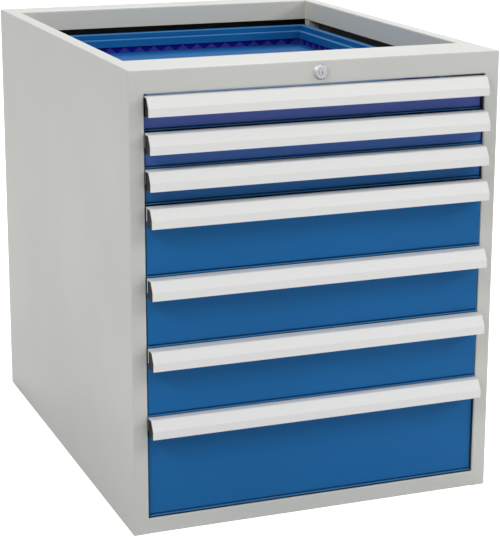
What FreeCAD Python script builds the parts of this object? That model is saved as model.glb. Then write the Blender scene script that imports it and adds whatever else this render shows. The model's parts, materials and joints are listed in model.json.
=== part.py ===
import FreeCAD, Part
import math
import os

# A steel drawer cabinet with an open top, seven full-extension drawers and one central lock.
# All sizes are in millimetres. X runs to the right, Y to the back, Z up.
# In the functions below y is counted from the front plane of the stiles, and the origin
# ends up on the floor under the middle of the carcass.

# Carcass
width = 553.0
depth = 720.0
sheet = 1.2
bend_r = 2.0
flange = 22.0
sill_h = 23.0
sill_gap = 3.0
header_h = 32.0
front_rim_w = 90.0
rear_rim_w = 58.0
turn_in = 15.0
sill_depth = 30.0
header_lip = 12.0
base_edge_h = 20.0

# Slotted uprights that carry the rails
upright_w = 16.0
upright_start = 34.0
slot_pitch = 25.0
slot_w = 4.0
slot_h = 12.0

# Drawers, counted from the top
pitches = [50.0, 50.0, 50.0, 100.0, 100.0, 100.0, 150.0]
stand_out = [0.0, 5.5, 5.0, 10.0, 9.5, 9.5, 4.5]
home_recess = 9.0
rear_clear = 17.4
travel_short = 12.0

# Drawer box
floor_up = 9.5
wall_top_down = 7.2
band_h = 12.5
band_jog = 2.0
step_h = 8.8
step_w = 7.0
lip_w = 7.4

# Slots for divider plates along the foot of the walls, with pointed lands between them
divider_pitch = 25.86
divider_shift = 4.4
land_top_w = 1.6
land_knee_w = 7.0
land_foot_w = 22.5
slot_up = 1.5
slot_knee_up = 7.3
slot_top_gap = 0.4

# Drawer front
front_gap = 1.3
pan_depth = 8.0
hem_proud = 1.5
hem_up = -1.2
hem_side_gap = 1.0
hem_edge_r = 0.5
fold_gap = 1.4

# Handle strip
handle_side_gap = 1.0
handle_down = 2.8
handle_reach = 25.5
handle_top_reach = 17.0
handle_h = 26.3
handle_knee = 14.8
handle_t = 1.8
handle_over = 0.5
handle_leg = 20.0
handle_nose_r = 3.5
handle_knee_r = 2.5
cap_t = 2.5
cap_inset = 0.4
cap_gap = 0.15
cap_drop = 2.5

# Telescopic rails: cabinet member, middle member and drawer member
rail_sheet = 1.5
rail_h = 25.0
cabinet_rail_w = 9.0
drawer_rail_w = 7.3
rail_start = 32.0
mid_t = 2.0
mid_gap = 1.5
mid_h = 17.0
mid_start = 34.0
drawer_rail_start = 12.0
shoe_len = 44.0
shoe_gap = 0.4
shoe_margin = 6.0
stop_gap = 0.3
stop_reach = 18.0

# Central lock
collar_r = 11.3
collar_face_r = 8.4
collar_out = 4.0
collar_edge_r = 0.8
barrel_r = 8.0
barrel_in = 17.5
barrel_gap = 0.2
plug_r = 4.2
plug_gap = 0.05
plug_back = 18.0
plug_proud = 1.2
plug_edge_r = 0.5
keyway_w = 0.9
keyway_h = 4.6
keyway_deep = 6.0
nut_across = 24.0
nut_t = 5.0
cam_r = 10.0
cam_t = 2.5
cam_screw_r = 3.0
cam_screw_t = 2.0
pin_d = 4.0
pin_play = 0.7
lock_travel = 9.0
link_t = 2.0
link_h = 10.0
link_gap = 1.0
link_end_up = 12.0
link_end_half = 9.5
bar_t = 2.5
bar_w = 14.0
bar_start = 20.0
bar_side_gap = 2.5
bar_bottom = 40.0
head_in = 7.0
head_out = 2.5
head_up = 4.5
head_down = 14.5
hook_reach = 7.5
hook_h = 8.5
hook_gap = 1.5
catch_t = 2.0
catch_h = 7.6
catch_side_gap = 2.5
catch_play = 2.5
guide_w = 12.0
guide_play = 0.3
guide_lip = 5.5
link_guide_x = [90.0, 200.0]
bar_guide_z = [110.0, 400.0]

# How far a cut runs past the metal
past = 1.0

# Heights that follow from the sizes above
opening_top = sill_h + sill_gap + sum(pitches)
height = opening_top + header_h
lock_z = opening_top + header_h / 2
rail_up = min(pitches) - wall_top_down - step_h - sheet - rail_h
lip_down = wall_top_down + sheet
hook_down = lip_down + catch_h + hook_gap

# Half widths across the cabinet, from the outside in
outer_half = width / 2
open_half = outer_half - flange
side_inner = outer_half - sheet
rail_in = open_half - cabinet_rail_w
mid_out = rail_in - mid_gap
mid_in = mid_out - mid_t
drawer_rail_out = mid_in - mid_gap
drawer_rail_in = drawer_rail_out - drawer_rail_w
band_half = drawer_rail_in - sheet
wall_half = band_half - band_jog
step_half = wall_half + step_w
lip_half = step_half + lip_w
front_half = open_half - front_gap
hem_half = open_half - hem_side_gap
handle_half = open_half - handle_side_gap

# Distances from the front plane
back_flange = depth - rear_rim_w
inner_len = (back_flange - rear_clear - step_w - lip_w
             - home_recess - pan_depth - sheet)
travel = inner_len - travel_short
drawer_rail_end = pan_depth + sheet + inner_len
stop_y = home_recess + drawer_rail_end + stop_gap
mid_end = stop_y - mid_t

# The lock's crank pin swings a quarter turn, from 45 degrees one side to 45 degrees the other
crank_r = lock_travel / math.sqrt(2)
pin_half = lock_travel / 2
slot_r = (pin_d + pin_play) / 2
bar_out = side_inner - bar_side_gap - head_out
bar_in = bar_out - bar_w
link_y = bar_start + bar_t + link_gap
bar_pin_x = bar_in + 0.5
bar_pin_z = lock_z
head_low = bar_pin_z - head_down
catch_back = bar_start + bar_t + catch_play + max(stand_out) - home_recess


def point(plane, u, v, w):
    """A point of the plane xy, yz or xz at the height w above that plane."""
    if plane == "xy":
        return FreeCAD.Vector(u, v - depth / 2, w)
    if plane == "yz":
        return FreeCAD.Vector(w, u - depth / 2, v)
    return FreeCAD.Vector(u, w - depth / 2, v)


def block(xs, ys, zs):
    """A box between two values on each axis."""
    corner = point("xy", xs[0], ys[0], zs[0])
    return Part.makeBox(xs[1] - xs[0], ys[1] - ys[0], zs[1] - zs[0], corner)


def rod(radius, x, z, ys):
    """A round rod along Y."""
    return Part.makeCylinder(radius, ys[1] - ys[0], point("xz", x, z, ys[0]), FreeCAD.Vector(0, 1, 0))


def join(shapes):
    """Fuse shapes that meet into one clean solid."""
    return shapes[0].multiFuse(shapes[1:]).removeSplitter()


def mirrored(shape):
    """The same piece on the other side of the cabinet."""
    return shape.mirror(FreeCAD.Vector(0, 0, 0), FreeCAD.Vector(1, 0, 0))


def fillet_where(shape, radius, test):
    """Round the edges whose two ends both pass the test."""
    chosen = [edge for edge in shape.Edges if all(test(vertex.Point) for vertex in edge.Vertexes)]
    return shape.makeFillet(radius, chosen)


def directions(points):
    """Unit vectors along the parts of an open line of points."""
    result = []
    for (u0, v0), (u1, v1) in zip(points, points[1:]):
        length = math.hypot(u1 - u0, v1 - v0)
        result.append(((u1 - u0) / length, (v1 - v0) / length))
    return result


def offset_line(points, distance):
    """The open line of points moved to its left by a distance."""
    ways = directions(points)
    ways = [ways[0]] + ways + [ways[-1]]
    moved = []
    for (u, v), (au, av), (bu, bv) in zip(points, ways, ways[1:]):
        share = distance / (1 + au * bu + av * bv)
        moved.append((u - share * (av + bv), v + share * (au + bu)))
    return moved


def rounded_edges(plane, points, radii, w):
    """Straight edges and arcs along an open line of points."""
    ways = directions(points)
    edges = []
    last = points[0]
    for i, radius in enumerate(radii):
        corner = points[i + 1]
        (au, av), (bu, bv) = ways[i], ways[i + 1]
        if radius <= 0.05:
            edges.append(Part.makeLine(point(plane, *last, w), point(plane, *corner, w)))
            last = corner
            continue
        turn = math.acos(max(-1.0, min(1.0, au * bu + av * bv)))
        cut = radius * math.tan(turn / 2)
        start = (corner[0] - au * cut, corner[1] - av * cut)
        end = (corner[0] + bu * cut, corner[1] + bv * cut)
        edges.append(Part.makeLine(point(plane, *last, w), point(plane, *start, w)))
        across = radius / math.cos(turn / 2) - radius
        inward = math.hypot(bu - au, bv - av)
        middle = (corner[0] + (bu - au) / inward * across, corner[1] + (bv - av) / inward * across)
        arc = Part.Arc(point(plane, *start, w), point(plane, *middle, w), point(plane, *end, w))
        edges.append(arc.toShape())
        last = end
    edges.append(Part.makeLine(point(plane, *last, w), point(plane, *points[-1], w)))
    return edges


def extrude(plane, edges, length):
    """Close the edges to a face and pull it square to its plane."""
    way = point(plane, 0, 0, length) - point(plane, 0, 0, 0)
    return Part.Face(Part.Wire(edges)).extrude(way)


def strip(plane, points, thickness, ws, radii):
    """A folded sheet: the line of points is one skin and the other lies to its left."""
    ways = directions(points)
    near = []
    far = []
    for i, radius in enumerate(radii):
        left_turn = ways[i][0] * ways[i + 1][1] - ways[i][1] * ways[i + 1][0] > 0
        inside = max(radius - thickness, 0.0)
        near.append(radius if left_turn else inside)
        far.append(inside if left_turn else radius)
    other = offset_line(points, thickness)
    out = rounded_edges(plane, points, near, ws[0])
    home = rounded_edges(plane, other[::-1], far[::-1], ws[0])
    turn_a = Part.makeLine(point(plane, *points[-1], ws[0]), point(plane, *other[-1], ws[0]))
    turn_b = Part.makeLine(point(plane, *other[0], ws[0]), point(plane, *points[0], ws[0]))
    return extrude(plane, out + [turn_a] + home + [turn_b], ws[1] - ws[0])


def plate(plane, points, ws):
    """A flat plate with straight edges."""
    corners = [point(plane, u, v, ws[0]) for u, v in points + [points[0]]]
    edges = [Part.makeLine(a, b) for a, b in zip(corners, corners[1:])]
    return extrude(plane, edges, ws[1] - ws[0])


def save(name, solids):
    """Write one node: a single solid, or a group of separate solids."""
    shape = solids[0] if len(solids) == 1 else Part.makeCompound(solids)
    shape.exportStep("parts/" + name + ".step")


def side_panel():
    """Right side: one deep pan with the stile, the side rim and the rear edge folded in."""
    outer = block((open_half, outer_half), (0, depth), (0, height))

    def outside_edge(p):
        return p.x > outer_half - 0.01

    def top_edge(p):
        return p.z > height - 0.01 and (abs(abs(p.y) - depth / 2) < 0.01 or p.x > outer_half - 0.01)

    def rounded(edge):
        ends = [v.Point for v in edge.Vertexes]
        upright = all(outside_edge(p) for p in ends) and abs(ends[0].z - ends[1].z) > 1
        along_top = all(top_edge(p) for p in ends) and not all(abs(p.x - open_half) < 0.01 for p in ends)
        return upright or along_top

    outer = outer.makeFillet(bend_r, [edge for edge in outer.Edges if rounded(edge)])
    hollow = block((open_half, side_inner), (sheet, depth - sheet), (sheet, height - sheet))
    pan = outer.cut(hollow)
    edge_cut = 2 * bend_r
    stile_cut = block((open_half, open_half + edge_cut), (0, sheet), (sill_h, opening_top))
    rim_cut = block((open_half, open_half + edge_cut),
                    (front_rim_w - sheet, back_flange + sheet), (height - sheet, height))
    stile_edge = strip("xy", [(open_half, turn_in), (open_half, 0), (open_half + edge_cut, 0)],
                       sheet, (sill_h, opening_top), [bend_r])
    rim_edge = strip("xz", [(open_half + edge_cut, height), (open_half, height), (open_half, opening_top)],
                     sheet, (front_rim_w - sheet, back_flange + sheet), [bend_r])
    return join([pan.cut(stile_cut).cut(rim_cut), stile_edge, rim_edge])


def header_rail():
    """Front top rail: the face with the lock hole, the wide front rim and its inner flange."""
    line = [(header_lip, opening_top), (0, opening_top), (0, height), (front_rim_w, height),
            (front_rim_w, opening_top)]
    rail = strip("yz", line[::-1], sheet, (-open_half, open_half), [bend_r] * 3)
    return rail.cut(rod(barrel_r + barrel_gap, 0, lock_z, (-past, sheet + past)))


def sill_rail():
    """Bottom front rail, folded back at the top and along the floor."""
    line = [(sill_depth, sill_h / 2), (sill_depth, sill_h), (0, sill_h), (0, 0), (sill_depth, 0)]
    return strip("yz", line, sheet, (-open_half, open_half), [bend_r] * 3)


def rear_rail():
    """Rear top rail with the rear rim and its inner flange."""
    line = [(depth, opening_top), (depth, height), (back_flange, height), (back_flange, opening_top)]
    return strip("yz", line, sheet, (-open_half, open_half), [bend_r] * 2)


def back_panel():
    """Back sheet with its side edges turned in."""
    line = [(open_half, depth - turn_in), (open_half, depth), (-open_half, depth),
            (-open_half, depth - turn_in)]
    return strip("xy", line, sheet, (0, opening_top), [bend_r] * 2)


def base_panel():
    """Floor sheet with its side edges turned up and a tongue that reaches the back sheet."""
    line = [(-open_half, base_edge_h), (-open_half, 0), (open_half, 0), (open_half, base_edge_h)]
    tray = strip("xz", line, sheet, (sill_depth, depth - turn_in), [bend_r] * 2)
    tongue_half = open_half - sheet - bend_r
    tongue = block((-tongue_half, tongue_half), (depth - turn_in, depth - sheet), (0, sheet))
    return join([tray, tongue])


def upright(y0):
    """One slotted upright of the right side, a channel that opens towards the side panel."""
    line = [(side_inner, y0), (open_half, y0), (open_half, y0 + upright_w), (side_inner, y0 + upright_w)]
    post = strip("xy", line[::-1], sheet, (sheet, opening_top - sheet), [bend_r] * 2)
    middle = y0 + upright_w / 2
    count = int((opening_top - sill_h) / slot_pitch)
    slots = []
    for i in range(count):
        z0 = sill_h + sill_gap + slot_pitch * i
        slots.append(block((open_half - past, open_half + sheet + past),
                           (middle - slot_w / 2, middle + slot_w / 2), (z0, z0 + slot_h)))
    return post.cut(slots)


def cabinet_rail(z0):
    """Fixed member of one drawer's right rail, with the tab that stops the drawer at home."""
    low = z0 + rail_up
    line = [(rail_in, low), (open_half, low), (open_half, low + rail_h), (rail_in, low + rail_h)]
    channel = strip("xz", line, rail_sheet, (rail_start, back_flange), [bend_r] * 2)
    web_x = open_half - rail_sheet
    tab = block((open_half - stop_reach, web_x), (stop_y, stop_y + rail_sheet),
                (low + rail_sheet, low + rail_h - rail_sheet))
    return join([channel, tab])


def middle_rail(z0, forward):
    """Middle member of one drawer's right rail: the bar and its four slide shoes."""
    low = z0 + rail_up
    centre = low + rail_h / 2
    bar = block((mid_in, mid_out), (mid_start - forward, mid_end - forward),
                (centre - mid_h / 2, centre + mid_h / 2))
    shoe_z = (low + rail_sheet + shoe_gap, low + rail_h - rail_sheet - shoe_gap)
    half = shoe_len / 2
    cabinet_side = (mid_out, open_half - rail_sheet - shoe_gap)
    drawer_side = (drawer_rail_in + rail_sheet + shoe_gap, mid_in)
    places = [
        (cabinet_side, rail_start + travel / 2 + half + shoe_margin),
        (cabinet_side, mid_end - half - shoe_margin),
        (drawer_side, mid_start + half + shoe_margin),
        (drawer_side, stop_y - travel / 2 - half - shoe_margin),
    ]
    shoes = []
    for xs, y in places:
        shoes.append(block(xs, (y - half - forward, y + half - forward), shoe_z))
    return [bar] + shoes


def drawer_rail(z0, face):
    """Drawer member of the right rail, a channel that opens towards the side panel."""
    low = z0 + rail_up
    line = [(drawer_rail_out, low + rail_h), (drawer_rail_in, low + rail_h), (drawer_rail_in, low),
            (drawer_rail_out, low)]
    return strip("xz", line, rail_sheet, (face + drawer_rail_start, face + drawer_rail_end), [bend_r] * 2)


def wall_ring(face, grow_out, grow_in, zs):
    """One level of the drawer's walls: a ring that is grown past the inside of the plain wall."""
    front_out = face + pan_depth
    front_in = front_out + sheet
    back_in = front_in + inner_len
    outer = block((-wall_half - grow_out, wall_half + grow_out), (front_out, back_in + grow_out), zs)
    inner = block((-wall_half - grow_in, wall_half + grow_in), (front_in, back_in + grow_in), zs)
    return outer.cut(inner)


def divider_slots(face, floor):
    """Slots for divider plates along the foot of the side and back walls, wide above and narrow below."""
    y0 = face + pan_depth + sheet
    back = y0 + inner_len + band_jog
    reach = (band_half - past, band_half + sheet + past)
    top = floor + band_h - sheet - slot_top_gap
    sides = []
    for land, z in ((land_foot_w, floor + slot_up), (land_knee_w, floor + slot_knee_up), (land_top_w, top)):
        sides.append(((divider_pitch - land) / 2, z))

    def outline(middle):
        return [(middle + half, z) for half, z in sides] + [(middle - half, z) for half, z in sides[::-1]]

    slots = []
    along = int(inner_len / divider_pitch)
    for i in range(along):
        line = outline(y0 + inner_len / 2 + (i - (along - 1) / 2) * divider_pitch)
        slots.append(plate("yz", line, reach))
        slots.append(plate("yz", line, (-reach[1], -reach[0])))
    across = int(2 * wall_half / divider_pitch)
    for i in range(across):
        line = outline(divider_shift + (i - (across - 1) / 2) * divider_pitch)
        slots.append(plate("xz", line, (back - past, back + sheet + past)))
    return slots


def bend_edges(shape, face, z, grow):
    """The edges of the tray's stepped rim at one level: left, right and back, where the sheet bends down."""
    half = wall_half + grow
    front = face + pan_depth + sheet - depth / 2
    back = front + inner_len + grow
    chosen = []
    for edge in shape.Edges:
        a, b = [vertex.Point for vertex in edge.Vertexes] if len(edge.Vertexes) == 2 else (None, None)
        if a is None or abs(a.z - z) > 0.01 or abs(b.z - z) > 0.01:
            continue
        along_side = abs(abs(a.x) - half) < 0.01 and abs(a.x - b.x) < 0.01 and min(a.y, b.y) > front - 0.01
        along_back = abs(a.y - back) < 0.01 and abs(b.y - back) < 0.01 and abs(a.x) < half + 0.01
        if along_side or along_back:
            chosen.append(edge)
    return chosen


def drawer_tray(z0, pitch, face):
    """The drawer's tray, welded from five sheets: floor, front, back and two sides with a stepped rim."""
    floor = z0 + floor_up
    top = z0 + pitch - wall_top_down
    step = top - step_h
    back_in = face + pan_depth + sheet + inner_len
    band_out = band_jog + sheet
    bottom = block((-wall_half - band_out, wall_half + band_out),
                   (face + pan_depth, back_in + band_out), (floor - sheet, floor))
    levels = [
        wall_ring(face, band_out, band_jog, (floor - sheet, floor + band_h)),
        wall_ring(face, band_out, 0, (floor + band_h - sheet, floor + band_h)),
        wall_ring(face, sheet, 0, (floor + band_h - sheet, step)),
        wall_ring(face, step_w + sheet, 0, (step - sheet, step)),
        wall_ring(face, step_w + sheet, step_w, (step - sheet, top)),
        wall_ring(face, step_w + lip_w, step_w, (top - sheet, top)),
    ]
    tray = join([bottom] + levels)
    tray = tray.makeFillet(bend_r, bend_edges(tray, face, top, step_w) + bend_edges(tray, face, step, 0))
    tray = tray.cut(divider_slots(face, floor))
    all_x = (-lip_half, lip_half)
    mid_x = (-wall_half, wall_half)
    all_y = (face + pan_depth, back_in + step_w + lip_w)
    side = block((wall_half, lip_half), all_y, (floor, top))
    sheets = [
        block(all_x, all_y, (floor - sheet, floor)),
        block(mid_x, (all_y[0], all_y[0] + sheet), (floor, top)),
        block(mid_x, (back_in, all_y[1]), (floor, top)),
        side,
        mirrored(side),
    ]
    return [tray.common(piece) for piece in sheets]


def hem_strip(z0, face):
    """Angle strip under the tray's front that closes the gap below the drawer's front."""
    back = face + pan_depth + sheet
    line = [(face - hem_proud, z0 + hem_up), (back, z0 + hem_up), (back, z0 + floor_up - sheet)]
    angle = strip("yz", line, sheet, (-hem_half, hem_half), [sheet])
    edge_y = face - hem_proud - depth / 2
    return fillet_where(angle, hem_edge_r, lambda p: abs(p.y - edge_y) < 0.01)


def lock_catch(z0, pitch, face):
    """Tab under the right rim of the tray, which the lock bar's hook holds."""
    lip = z0 + pitch - lip_down
    return block((step_half + sheet, open_half - catch_side_gap),
                 (face + catch_back, face + catch_back + catch_t), (lip - catch_h, lip))


def drawer_front(z0, pitch, face):
    """The front: a shallow pan that is open at the back."""
    low = z0 + hem_up + sheet + fold_gap
    high = z0 + pitch - handle_down - handle_t
    pan = block((-front_half, front_half), (face, face + pan_depth), (low, high))
    face_y = face - depth / 2
    pan = fillet_where(pan, bend_r, lambda p: abs(p.y - face_y) < 0.01)
    hollow = block((-front_half + sheet, front_half - sheet), (face + sheet, face + pan_depth),
                   (low + sheet, high - sheet))
    return pan.cut(hollow)


def handle_line(top, face):
    """The outer skin of the handle strip, from the drawer's front round to its lower edge."""
    return [(face + handle_over, top), (face - handle_top_reach, top),
            (face - handle_reach, top - handle_knee), (face - handle_reach, top - handle_h)]


def handle(top, face):
    """Full-width handle strip, open below for the fingers, with a leg on the drawer's front."""
    cover = strip("yz", handle_line(top, face), handle_t, (-handle_half, handle_half),
                  [handle_nose_r, handle_knee_r])
    leg = block((-handle_half, handle_half), (face - handle_t, face), (top - handle_leg, top - handle_t))
    return join([cover, leg])


def handle_cap(top, face):
    """End cap that fills the handle strip's section just inside its right end, lower at its back."""
    skin = handle_t + cap_gap
    line = offset_line(handle_line(top, face), skin)
    low = top - handle_h + cap_inset
    line[0] = (face - skin, line[0][1])
    line[-1] = (line[-1][0], low)
    x0 = handle_half - cap_inset - cap_t
    radii = [handle_nose_r - handle_t, handle_knee_r - handle_t]
    edges = rounded_edges("yz", line, radii, x0)
    corner = (face - skin, low - cap_drop)
    edges.append(Part.makeLine(point("yz", *line[-1], x0), point("yz", *corner, x0)))
    edges.append(Part.makeLine(point("yz", *corner, x0), point("yz", *line[0], x0)))
    return extrude("yz", edges, cap_t)


def lock_housing():
    """Lock body: a tapered collar on the header's face and a barrel through it."""
    collar = Part.makeCone(collar_face_r, collar_r, collar_out, point("xz", 0, lock_z, -collar_out),
                           FreeCAD.Vector(0, 1, 0))
    face_y = -collar_out - depth / 2
    collar = fillet_where(collar, collar_edge_r, lambda p: abs(p.y - face_y) < 0.01)
    barrel = rod(barrel_r, 0, lock_z, (0, barrel_in))
    return join([collar, barrel]).cut(rod(plug_r + plug_gap, 0, lock_z, (-collar_out, barrel_in)))


def lock_nut():
    """Hexagonal nut that clamps the lock body from behind."""
    corners = []
    for i in range(6):
        angle = math.radians(60 * i)
        reach = nut_across / math.sqrt(3)
        corners.append((reach * math.cos(angle), lock_z + reach * math.sin(angle)))
    nut = plate("xz", corners, (sheet, sheet + nut_t))
    return nut.cut(rod(barrel_r + barrel_gap, 0, lock_z, (0, sheet + nut_t + past)))


def lock_plug():
    """The turning plug with its keyway, a little proud of the collar."""
    face = -collar_out - plug_proud
    plug = rod(plug_r, 0, lock_z, (face, plug_back))
    face_y = face - depth / 2
    plug = fillet_where(plug, plug_edge_r, lambda p: abs(p.y - face_y) < 0.01)
    keyway = block((-keyway_w / 2, keyway_w / 2), (face, face + keyway_deep),
                   (lock_z - keyway_h / 2, lock_z + keyway_h / 2))
    return plug.cut(keyway)


def lock_cam():
    """Disc on the plug's end with the crank pin that moves the link, and the screw that holds it."""
    disc = rod(cam_r, 0, lock_z, (plug_back, plug_back + cam_t))
    pin = rod(pin_d / 2, -pin_half, lock_z + pin_half, (plug_back + cam_t, link_y + link_t + link_gap))
    screw = rod(cam_screw_r, 0, lock_z, (plug_back + cam_t, plug_back + cam_t + cam_screw_t))
    return join([disc, pin, screw])


def long_slot(a, b, ys):
    """A slot with round ends between two places in the xz plane."""
    slot = [rod(slot_r, a[0], a[1], ys), rod(slot_r, b[0], b[1], ys)]
    angle = math.atan2(b[1] - a[1], b[0] - a[0])
    su = slot_r * math.sin(angle)
    sv = slot_r * math.cos(angle)
    slot.append(plate("xz", [(a[0] + su, a[1] - sv), (b[0] + su, b[1] - sv),
                             (b[0] - su, b[1] + sv), (a[0] - su, a[1] + sv)], ys))
    return join(slot)


def lock_link():
    """Flat link in the header that carries the plug's motion to the lock bar at the right."""
    ys = (link_y, link_y + link_t)
    low = lock_z - link_h / 2
    body = block((-pin_half - link_end_half, bar_pin_x + pin_d), ys, (low, low + link_h))
    end = block((-pin_half - link_end_half, -pin_half + link_end_half), ys, (low, lock_z + link_end_up))
    slot = long_slot((-pin_half, lock_z + pin_half), (-pin_half, lock_z + crank_r),
                     (link_y - past, link_y + link_t + past))
    pin = rod(pin_d / 2, bar_pin_x, bar_pin_z, (bar_start - link_gap, link_y))
    return join([join([body, end]).cut(slot), pin])


def lock_bar(levels):
    """Upright bar behind the right stile, its head with the slanted slot, and a hook for each drawer."""
    ys = (bar_start, bar_start + bar_t)
    bar = block((bar_in, bar_out), ys, (bar_bottom, head_low))
    head = block((bar_in - head_in, bar_out + head_out), ys, (head_low, bar_pin_z + head_up))
    slot = long_slot((bar_pin_x, bar_pin_z), (bar_pin_x + lock_travel, bar_pin_z - lock_travel),
                     (bar_start - past, bar_start + bar_t + past))
    hooks = []
    for z0, pitch in zip(levels, pitches):
        top = z0 + pitch - hook_down
        hooks.append(block((bar_in - hook_reach, bar_in), ys, (top - hook_h, top)))
    return [bar, head.cut(slot)] + hooks


def link_guide(x):
    """Hooked clip under the header's top that carries the link."""
    out = sheet + guide_play
    low = lock_z - link_h / 2 - out
    back = link_y + link_t + out
    near = link_y - out
    line = [(back, height - sheet), (back, low), (near, low), (near, low + guide_lip)]
    return strip("yz", line[::-1], sheet, (x, x + guide_w), [0.0, 0.0])


def bar_guide(z):
    """Clip on the side panel that keeps the lock bar upright."""
    out = sheet + guide_play
    back = bar_start + bar_t + out
    near = bar_start - out
    inside = bar_in - out
    line = [(side_inner, back), (inside, back), (inside, near), (inside + guide_lip, near)]
    return strip("xy", line, sheet, (z, z + guide_w), [0.0, 0.0])


def drawer_levels():
    """The lower end of each drawer's zone, from the top drawer down."""
    levels = []
    z = opening_top
    for pitch in pitches:
        z -= pitch
        levels.append(z)
    return levels


def build_carcass(levels):
    side = side_panel()
    save("side_panel_right", [side])
    save("side_panel_left", [mirrored(side)])
    save("back_panel", [back_panel()])
    save("base_panel", [base_panel()])
    save("header_rail", [header_rail()])
    save("sill_rail", [sill_rail()])
    save("rear_rail", [rear_rail()])
    posts = [upright(upright_start), upright(back_flange - upright_w)]
    save("uprights_right", posts)
    save("uprights_left", [mirrored(post) for post in posts])
    rails = [cabinet_rail(z0) for z0 in levels]
    save("cabinet_rails_right", rails)
    save("cabinet_rails_left", [mirrored(rail) for rail in rails])


def build_drawer(number, z0, pitch, out):
    face = home_recess - out
    top = z0 + pitch - handle_down
    name = "drawer_" + str(number)
    save(name + "_box", drawer_tray(z0, pitch, face) + [hem_strip(z0, face), lock_catch(z0, pitch, face)])
    save(name + "_front", [drawer_front(z0, pitch, face)])
    save(name + "_handle", [handle(top, face)])
    cap = handle_cap(top, face)
    save(name + "_handle_caps", [cap, mirrored(cap)])
    rail = drawer_rail(z0, face)
    save(name + "_rails", [rail, mirrored(rail)])
    middle = middle_rail(z0, out / 2)
    save("middle_rails_" + str(number), middle + [mirrored(piece) for piece in middle])


def build_lock(levels):
    save("lock_housing", [lock_housing()])
    save("lock_nut", [lock_nut()])
    save("lock_plug", [lock_plug()])
    save("lock_cam", [lock_cam()])
    save("lock_link", [lock_link()])
    save("lock_bar", lock_bar(levels))
    save("lock_guides", [link_guide(x) for x in link_guide_x] + [bar_guide(z) for z in bar_guide_z])


def main():
    os.makedirs("parts", exist_ok=True)
    levels = drawer_levels()
    build_carcass(levels)
    for i, (z0, pitch, out) in enumerate(zip(levels, pitches, stand_out)):
        build_drawer(i + 1, z0, pitch, out)
    build_lock(levels)
    print("overall", width, depth, height, "drawer inside", 2 * wall_half, inner_len, "travel", travel)


main()
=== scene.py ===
import json
import math

import bmesh
import bpy
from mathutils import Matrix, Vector

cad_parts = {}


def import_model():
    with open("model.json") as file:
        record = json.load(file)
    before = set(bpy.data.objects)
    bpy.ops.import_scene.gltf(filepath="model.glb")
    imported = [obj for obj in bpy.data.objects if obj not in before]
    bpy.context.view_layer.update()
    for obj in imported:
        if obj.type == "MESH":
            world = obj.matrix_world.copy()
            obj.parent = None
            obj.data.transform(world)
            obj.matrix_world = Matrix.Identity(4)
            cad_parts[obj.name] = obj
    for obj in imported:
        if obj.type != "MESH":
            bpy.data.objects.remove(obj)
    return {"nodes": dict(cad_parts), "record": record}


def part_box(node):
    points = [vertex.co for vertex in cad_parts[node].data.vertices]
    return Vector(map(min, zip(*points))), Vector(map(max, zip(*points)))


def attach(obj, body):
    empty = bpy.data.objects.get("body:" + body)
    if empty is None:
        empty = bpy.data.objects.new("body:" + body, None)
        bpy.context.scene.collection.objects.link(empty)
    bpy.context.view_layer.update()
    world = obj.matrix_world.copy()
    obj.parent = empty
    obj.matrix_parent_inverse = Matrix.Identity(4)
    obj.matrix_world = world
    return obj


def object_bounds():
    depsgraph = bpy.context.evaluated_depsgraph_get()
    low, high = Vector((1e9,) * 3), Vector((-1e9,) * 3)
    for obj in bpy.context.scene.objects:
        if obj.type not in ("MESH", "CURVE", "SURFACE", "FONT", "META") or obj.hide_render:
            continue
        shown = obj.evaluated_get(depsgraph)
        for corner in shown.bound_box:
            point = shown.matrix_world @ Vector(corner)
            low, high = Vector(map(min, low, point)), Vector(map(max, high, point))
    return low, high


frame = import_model()
cad_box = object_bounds()
nodes = frame["nodes"]

# Camera, at the photo's viewpoint
IMAGE_LONG_SIDE = 536
FOCAL_LENGTH_PX = 1775.8
SENSOR_MM = 36.0
CAMERA_PLACE = (-0.9601, -2.5768, 1.0180)
CAMERA_TILT = 75.937
CAMERA_ROLL = -0.086
CAMERA_TURN = -20.900
CAMERA_SHIFT = (0.01141, -0.06409)

# Light: a dim even sky and five large soft lamps, three in front, one high behind and one overhead.
# Each lamp has its place in metres and its power in watts.
WORLD_STRENGTH = 0.30
LAMP_SIZE = 2.0
LAMP_AIM = (0.0, 0.0, 0.35)
LAMPS = {
    "right_lamp": ((6.0, -3.2, 3.8), 168.0),
    "front_lamp": ((3.0, -6.0, 5.2), 68.0),
    "left_lamp": ((-5.0, -3.0, 5.0), 168.0),
    "rear_lamp": ((2.0, 4.2, 5.6), 185.0),
    "top_lamp": ((0.0, 0.4, 6.8), 46.0),
}

# The floor, and how much it glows for the camera and for what mirrors it, so that it looks white
FLOOR_SIZE = 40.0
FLOOR_GLOW = 0.7
FLOOR_GLOW_MIRRORED = 0.25

# Colours as they look under plain light, in sRGB
GREY = (0.78, 0.785, 0.765)
# Painted light: the rims' inner flanges are painted lighter and warmer, against the dim, blue-tinged
# light inside the opening
FLANGE_LIGHT_GREY = (0.865, 0.85, 0.80)
# Painted shade: the faces inside the carcass are painted dark grey where the shade inside it falls
INSIDE_SHADE_GREY = (0.27, 0.27, 0.265)
BLUE = (0.09, 0.385, 0.62)
# Painted light: the upper fronts are painted lighter and violet, which offsets the handles' shade on
# them
PAINTED_LIGHT_VIOLET = (0.37, 0.42, 0.74)
# Painted highlight on the drawer boxes' bends and hem strips
HIGHLIGHT_BLUE = (0.24, 0.50, 0.72)
# Painted shade: the slotted foot of the drawers' walls is painted dark violet where shade falls in its
# recess
SLOT_SHADE_VIOLET = (0.21, 0.20, 0.55)
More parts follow.
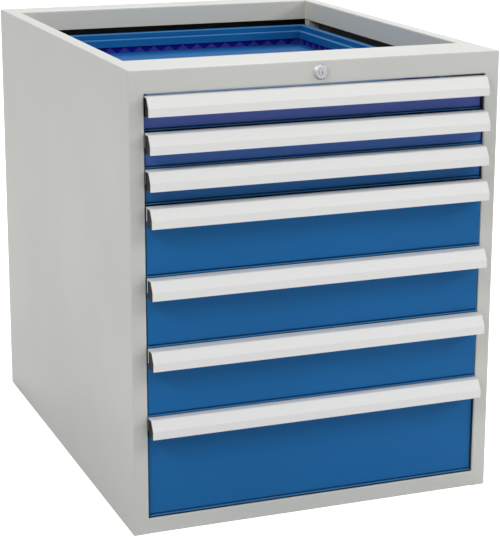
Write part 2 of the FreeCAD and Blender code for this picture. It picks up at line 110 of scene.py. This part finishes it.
# Painted shade: a dark navy sheet behind the slots stands in for the shade seen through them
SLOT_SHADE_NAVY = (0.03, 0.05, 0.46)
OFF_WHITE = (0.892, 0.892, 0.887)
BLACK = (0.11, 0.108, 0.104)
ZINC = (0.66, 0.68, 0.69)
NICKEL = (0.715, 0.72, 0.73)
BARE_ALUMINIUM = (0.86, 0.86, 0.86)
FLOOR = (0.97, 0.97, 0.97)
WHITE = (1.0, 1.0, 1.0, 1.0)

# Gloss of the powder coats: least and greatest roughness, and specular level
GREY_GLOSS = ((0.38, 0.46), 0.4)
BLUE_GLOSS = ((0.36, 0.44), 0.12)
SHADE_SHEET_GLOSS = ((0.46, 0.54), 0.1)

# Refraction of the coats and of the black plastic
COAT_IOR = 1.5
PLASTIC_IOR = 1.48

# Where a noise has most of its values, and the whole span of an even value
NOISE_SPAN = (0.3, 0.7)
FULL_SPAN = (0.0, 1.0)

# Thickness of the carcass sheet, the depth of its front bends, and how deep its outer paint reaches
SHEET = 0.0012
BEND = 0.0025
OUTER_SKIN = 0.6 * SHEET

# How level a face is, from 0 upright to 1 level, where the painted highlight on a bend fades in and out
BEND_FADES_IN = (0.15, 0.4)
BEND_FADES_OUT = (0.93, 0.99)

# How squarely a face of a handle looks sideways where the coat ends and the sawn metal begins
SAWN_FADES_IN = (0.8, 0.9)

# How far behind the cabinet's front plane the hem strips under the drawers' fronts still show and carry
# a painted highlight
HEM_DEPTH = 0.0115

# The slotted foot of a drawer's walls, which is painted dark as shade: in from the box's sides and
# back, and up from its lowest edge
SLOT_SIDE_IN = 0.0203
SLOT_BACK_IN = 0.0112
SLOT_LOW = 0.0118
SLOT_HIGH = 0.0222
SLOT_FRONT = 0.016

# Number of drawers, and the thickness of the dark sheets behind their slots, which stand in for the
# shade seen through them
DRAWERS = 7
SHADE_SHEET = 0.0003


def linear(colour):
    """An sRGB colour as the linear colour that a shader takes."""
    out = [c / 12.92 if c <= 0.04045 else ((c + 0.055) / 1.055) ** 2.4 for c in colour]
    return (*out, 1.0)


def shade(colour, factor):
    """The colour made lighter or darker."""
    return tuple(min(1.0, c * factor) for c in colour)


class Tree:
    """A node tree, with short calls that add and link nodes."""

    def __init__(self, tree):
        self.tree = tree

    def add(self, kind, **values):
        """A new node with the given settings."""
        node = self.tree.nodes.new(kind)
        for key, value in values.items():
            setattr(node, key, value)
        return node

    def link(self, source, target):
        """Feed one socket from another."""
        self.tree.links.new(source, target)

    def combine(self, operation, *values):
        """The result of a sum or test on values that are sockets or numbers."""
        node = self.add("ShaderNodeMath", operation=operation)
        for value, socket in zip(values, node.inputs):
            if isinstance(value, float):
                socket.default_value = value
            else:
                self.link(value, socket)
        return node.outputs["Value"]

    def ramp(self, value, span, result):
        """The value moved from one span of numbers to another, and held at that span's ends."""
        node = self.add("ShaderNodeMapRange")
        for key, number in zip(("From Min", "From Max", "To Min", "To Max"), (*span, *result)):
            node.inputs[key].default_value = number
        self.link(value, node.inputs["Value"])
        return node.outputs["Result"]


class Finish(Tree):
    """A material, whose object coordinates are metres in the cabinet's frame at rest."""

    def __init__(self, name):
        self.material = bpy.data.materials.new(name)
        self.material.use_nodes = True
        super().__init__(self.material.node_tree)
        self.shader = self.tree.nodes["Principled BSDF"]
        self.coords = self.add("ShaderNodeTexCoord")

    def set(self, **values):
        """Put plain values on the shader's own sockets."""
        for key, value in values.items():
            self.shader.inputs[key.replace("_", " ")].default_value = value

    def paint(self, colour):
        """Colour the surface from a socket."""
        self.link(colour, self.shader.inputs["Base Color"])

    def split(self, kind):
        """The X, Y and Z of a coordinate."""
        node = self.add("ShaderNodeSeparateXYZ")
        self.link(self.coords.outputs[kind], node.inputs["Vector"])
        return node.outputs

    def stretched(self, scale):
        """Object coordinates, scaled along each axis."""
        mapping = self.add("ShaderNodeMapping")
        mapping.inputs["Scale"].default_value = scale
        self.link(self.coords.outputs["Object"], mapping.inputs["Vector"])
        return mapping.outputs["Vector"]

    def noise(self, scale, detail=2.0, vector=None):
        """Noise in space, finer with a larger scale."""
        node = self.add("ShaderNodeTexNoise")
        node.inputs["Scale"].default_value = scale
        node.inputs["Detail"].default_value = detail
        self.link(vector or self.coords.outputs["Object"], node.inputs["Vector"])
        return node.outputs["Fac"]

    def mix(self, factor, first, second):
        """One colour that turns into another, each a socket or a linear colour."""
        node = self.add("ShaderNodeMix", data_type="RGBA")
        self.link(factor, node.inputs["Factor"])
        for name, value in (("A", first), ("B", second)):
            target = next(i for i in node.inputs if i.name == name and i.type == "RGBA")
            if isinstance(value, tuple):
                target.default_value = value
            else:
                self.link(value, target)
        return next(o for o in node.outputs if o.type == "RGBA")

    def mottled(self, noise, colour, dark, light):
        """The colour, uneven between a darker and a lighter tone."""
        return self.mix(noise, linear(shade(colour, dark)), linear(shade(colour, light)))

    def relief(self, height, rough, depth, strength, span=NOISE_SPAN):
        """A fine relief, in metres, with a roughness that follows it."""
        self.link(self.ramp(height, span, rough), self.shader.inputs["Roughness"])
        node = self.add("ShaderNodeBump")
        node.inputs["Strength"].default_value = strength
        node.inputs["Distance"].default_value = depth
        self.link(height, node.inputs["Height"])
        self.link(node.outputs["Normal"], self.shader.inputs["Normal"])

    def within(self, low, high):
        """One inside the box between two corners, and zero outside it."""
        place = self.split("Object")
        tests = []
        for axis, lowest, highest in zip("XYZ", low, high):
            tests.append(self.combine("GREATER_THAN", place[axis], lowest))
            tests.append(self.combine("LESS_THAN", place[axis], highest))
        inside = tests[0]
        for test in tests[1:]:
            inside = self.combine("MULTIPLY", inside, test)
        return inside

    def bends(self):
        """One on the rounded edges between level and upright sheet, where the painted highlight goes,
        and zero elsewhere.
        """
        facing = self.split("Normal")
        rising = self.ramp(facing["Z"], BEND_FADES_IN, (0.0, 1.0))
        levelling = self.ramp(facing["Z"], BEND_FADES_OUT, (1.0, 0.0))
        return self.combine("MULTIPLY", rising, levelling)


def front_plane():
    """Where the carcass's front is, along Y."""
    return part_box("side_panel_right")[0].y


def header_foot():
    """The height of the header rail's lower edge."""
    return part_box("header_rail")[0].z


def carcass_room():
    """The box that the carcass encloses below its rims, a touch inside its outer skin, where the
    painted shade goes.
    """
    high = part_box("side_panel_right")[1]
    return ((OUTER_SKIN - high.x, front_plane() + BEND, OUTER_SKIN),
            (high.x - OUTER_SKIN, high.y - OUTER_SKIN, header_foot() - OUTER_SKIN / 3))


def flange_room():
    """The opening between the rims, as high as their inner flanges, where the painted light goes."""
    side_low, side_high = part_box("side_panel_right")
    half = side_low.x + SHEET
    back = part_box("rear_rail")[0].y + SHEET
    return (-half, front_plane() + BEND, header_foot()), (half, back, side_high.z - SHEET)


def hem_room():
    """The front of the cabinet, as far in as the hem strips show, where the hem's painted highlight
    goes.
    """
    low, high = cad_box
    return low, (high.x, front_plane() + HEM_DEPTH, high.z)


def slot_band(drawer_box):
    """The box round the slotted foot of one drawer's side and back walls."""
    low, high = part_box(drawer_box)
    return ((low.x + SLOT_SIDE_IN, low.y + SLOT_FRONT, low.z + SLOT_LOW),
            (high.x - SLOT_SIDE_IN, high.y - SLOT_BACK_IN, low.z + SLOT_HIGH))


def coat(m, colour):
    """A powder coat's barely uneven colour."""
    cloud = m.ramp(m.noise(scale=3.5, detail=3.0), (0.35, 0.65), (0.0, 1.0))
    return m.mottled(cloud, colour, dark=0.985, light=1.012)


def powder_coat(m, paint, gloss):
    """Satin powder coat of the given colour, with a faint orange peel."""
    rough, specular = gloss
    m.paint(paint)
    m.relief(m.noise(scale=420.0), rough, depth=0.00006, strength=0.35)
    m.set(Specular_IOR_Level=specular, IOR=COAT_IOR)
    return m.material


def plain_coat(name, colour, gloss):
    """Powder coat of one colour."""
    m = Finish(name)
    return powder_coat(m, coat(m, colour), gloss)


def carcass_coat():
    """Grey coat, with painted shade that darkens the faces inside the carcass, and painted light that
    makes the rims' inner flanges lighter and warmer.
    """
    m = Finish("grey_paint")
    # Painted shade inside the carcass
    paint = m.mix(m.within(*carcass_room()), coat(m, GREY), linear(INSIDE_SHADE_GREY))
    # Painted light on the rims' inner flanges
    paint = m.mix(m.within(*flange_room()), paint, linear(FLANGE_LIGHT_GREY))
    return powder_coat(m, paint, GREY_GLOSS)


def front_coat():
    """Blue coat of the drawers' fronts, which turns to a lighter violet from the fourth front up to the
    first: painted light that offsets the handles' shade on the upper fronts.
    """
    m = Finish("blue_paint")
    heights = (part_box("drawer_4_front")[1].z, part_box("drawer_1_front")[1].z)
    share = m.ramp(m.split("Object")["Z"], heights, (0.0, 1.0))
    # Painted light on the upper fronts
    paint = m.mix(share, coat(m, BLUE), linear(PAINTED_LIGHT_VIOLET))
    return powder_coat(m, paint, BLUE_GLOSS)


def drawer_coat(drawer_box):
    """Blue coat of one drawer's box, with a painted highlight on its bends and its hem, and painted
    shade in violet round its slots.
    """
    m = Finish(drawer_box + "_paint")
    # Painted highlight on the bends
    paint = m.mix(m.bends(), coat(m, BLUE), linear(HIGHLIGHT_BLUE))
    # Painted shade round the slots
    paint = m.mix(m.within(*slot_band(drawer_box)), paint, linear(SLOT_SHADE_VIOLET))
    # Painted highlight on the hem strips
    paint = m.mix(m.within(*hem_room()), paint, linear(HIGHLIGHT_BLUE))
    return powder_coat(m, paint, BLUE_GLOSS)


def handle_finish():
    """Off-white coat on the handle strip, with bare metal where its ends are sawn."""
    m = Finish("handle_coat")
    sawn = m.ramp(m.combine("ABSOLUTE", m.split("Normal")["X"]), SAWN_FADES_IN, (0.0, 1.0))
    m.paint(m.mix(sawn, linear(OFF_WHITE), linear(BARE_ALUMINIUM)))
    m.relief(m.noise(scale=380.0), rough=(0.36, 0.44), depth=0.00004, strength=0.3)
    m.set(IOR=COAT_IOR)
    return m.material


def black_plastic():
    """Moulded plastic with a fine grain."""
    m = Finish("black_plastic")
    m.paint(m.mottled(m.noise(scale=40.0), BLACK, dark=0.9, light=1.1))
    grain = m.noise(scale=900.0, detail=3.0)
    m.relief(grain, rough=(0.48, 0.62), depth=0.00008, strength=0.4)
    m.set(IOR=PLASTIC_IOR)
    return m.material


def zinc_steel():
    """Zinc-plated rolled steel, drawn along its length."""
    m = Finish("zinc_steel")
    m.paint(m.mottled(m.noise(scale=60.0, detail=4.0), ZINC, dark=0.88, light=1.06))
    drawn = m.noise(scale=1.0, detail=4.0, vector=m.stretched((700.0, 12.0, 700.0)))
    m.relief(drawn, rough=(0.28, 0.46), depth=0.00003, strength=0.4)
    m.set(Metallic=1.0)
    return m.material


def lock_metal():
    """Satin nickel, turned round the lock's axis."""
    m = Finish("lock_metal")
    low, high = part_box("lock_housing")
    centred = m.add("ShaderNodeMapping")
    centred.inputs["Location"].default_value = (-(low.x + high.x) / 2, 0.0, -(low.z + high.z) / 2)
    m.link(m.coords.outputs["Object"], centred.inputs["Vector"])
    rings = m.add("ShaderNodeTexWave", wave_type="RINGS", rings_direction="Y")
    rings.inputs["Scale"].default_value = 900.0
    rings.inputs["Distortion"].default_value = 1.5
    m.link(centred.outputs["Vector"], rings.inputs["Vector"])
    m.paint(m.mottled(m.noise(scale=300.0), NICKEL, dark=0.94, light=1.04))
    m.relief(rings.outputs["Fac"], rough=(0.42, 0.52), depth=0.00002, strength=0.3, span=FULL_SPAN)
    m.set(Metallic=1.0)
    return m.material


def dress_nodes():
    """Give each CAD node the material of its slot, and some nodes one of their own."""
    finishes = {
        "grey_paint": carcass_coat(),
        "blue_paint": front_coat(),
        "white_aluminium": handle_finish(),
        "black_plastic": black_plastic(),
        "zinc_steel": zinc_steel(),
        "lock_metal": lock_metal(),
    }
    for part in frame["record"]["subparts"]:
        materials = nodes[part["node"]].data.materials
        materials.clear()
        materials.append(finishes[part["material_slot"]])
    plain_grey = plain_coat("plain_grey", GREY, GREY_GLOSS)
    for name in ("uprights_left", "uprights_right"):
        nodes[name].data.materials[0] = plain_grey
    for number in range(1, DRAWERS + 1):
        name = f"drawer_{number}_box"
        nodes[name].data.materials[0] = drawer_coat(name)


def slot_shade_sheet(number, finish):
    """Painted shade: a dark sheet in the outer skin of a drawer's side and back walls, which closes its
    slots and stands in for the shade seen through them.
    """
    drawer = f"drawer_{number}"
    low, high = slot_band(drawer + "_box")
    inset = 2 * SHADE_SHEET
    left = low[0] + inset
    right = high[0] - inset
    back = high[1] - inset
    line = [(left, low[1]), (left, back), (right, back), (right, low[1])]
    mesh = bmesh.new()
    feet = [mesh.verts.new((x, y, low[2])) for x, y in line]
    heads = [mesh.verts.new((x, y, high[2])) for x, y in line]
    for i in range(len(line) - 1):
        mesh.faces.new((feet[i], feet[i + 1], heads[i + 1], heads[i]))
    data = bpy.data.meshes.new(drawer + "_slot_shade_sheet")
    mesh.to_mesh(data)
    mesh.free()
    data.materials.append(finish)
    piece = bpy.data.objects.new(data.name, data)
    bpy.context.scene.collection.objects.link(piece)
    skin = piece.modifiers.new("skin", "SOLIDIFY")
    skin.thickness = SHADE_SHEET
    skin.offset = 0.0
    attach(piece, drawer)


def stage():
    """A plain pale floor that runs to a white background."""
    bpy.ops.mesh.primitive_plane_add(size=FLOOR_SIZE, location=(0.0, 0.0, 0.0))
    floor = bpy.context.object
    floor.name = "floor"
    m = Finish("floor")
    m.paint(m.mottled(m.noise(scale=2.0), FLOOR, dark=0.995, light=1.0))
    m.set(Roughness=0.9, Specular_IOR_Level=0.0, Emission_Color=WHITE)
    path = m.add("ShaderNodeLightPath").outputs
    seen = m.ramp(path["Is Camera Ray"], FULL_SPAN, (0.0, FLOOR_GLOW))
    mirrored = m.combine("MAXIMUM", path["Is Glossy Ray"], path["Is Transmission Ray"])
    reflected = m.ramp(mirrored, FULL_SPAN, (0.0, FLOOR_GLOW_MIRRORED))
    m.link(m.combine("MAXIMUM", seen, reflected), m.shader.inputs["Emission Strength"])
    floor.data.materials.append(m.material)


def soft_lamp(name, place, watts):
    """A round studio lamp that faces the cabinet."""
    light = bpy.data.lights.new(name, "AREA")
    light.shape = "DISK"
    light.size = LAMP_SIZE
    light.energy = watts
    lamp = bpy.data.objects.new(name, light)
    lamp.location = place
    lamp.rotation_euler = (Vector(LAMP_AIM) - Vector(place)).to_track_quat("-Z", "Y").to_euler()
    bpy.context.scene.collection.objects.link(lamp)


def world():
    """White background for the camera and for what mirrors it, and an even dim light for the rest."""
    sky = bpy.data.worlds.new("studio")
    bpy.context.scene.world = sky
    sky.use_nodes = True
    tree = Tree(sky.node_tree)
    background = sky.node_tree.nodes["Background"]
    path = tree.add("ShaderNodeLightPath").outputs
    seen = tree.combine("MAXIMUM", path["Is Camera Ray"], path["Is Glossy Ray"])
    seen = tree.combine("MAXIMUM", seen, path["Is Transmission Ray"])
    tree.link(tree.ramp(seen, FULL_SPAN, (WORLD_STRENGTH, 1.0)), background.inputs["Strength"])
    background.inputs["Color"].default_value = WHITE


def camera():
    """The camera, at the photo's viewpoint and with its framing."""
    data = bpy.data.cameras.new("camera")
    data.sensor_width = SENSOR_MM
    data.lens = FOCAL_LENGTH_PX * SENSOR_MM / IMAGE_LONG_SIDE
    data.shift_x, data.shift_y = CAMERA_SHIFT
    eye = bpy.data.objects.new("camera", data)
    eye.location = CAMERA_PLACE
    eye.rotation_euler = tuple(math.radians(a) for a in (CAMERA_TILT, CAMERA_ROLL, CAMERA_TURN))
    bpy.context.scene.collection.objects.link(eye)
    bpy.context.scene.camera = eye


dress_nodes()
# Dark sheets behind the drawers' slots, as painted shade
slot_shade_finish = plain_coat("slot_shade_sheet", SLOT_SHADE_NAVY, SHADE_SHEET_GLOSS)
for drawer_number in range(1, DRAWERS + 1):
    slot_shade_sheet(drawer_number, slot_shade_finish)
stage()
for lamp_name, (lamp_place, lamp_watts) in LAMPS.items():
    soft_lamp(lamp_name, lamp_place, lamp_watts)
world()
camera()
bpy.context.scene.view_settings.view_transform = "Standard"
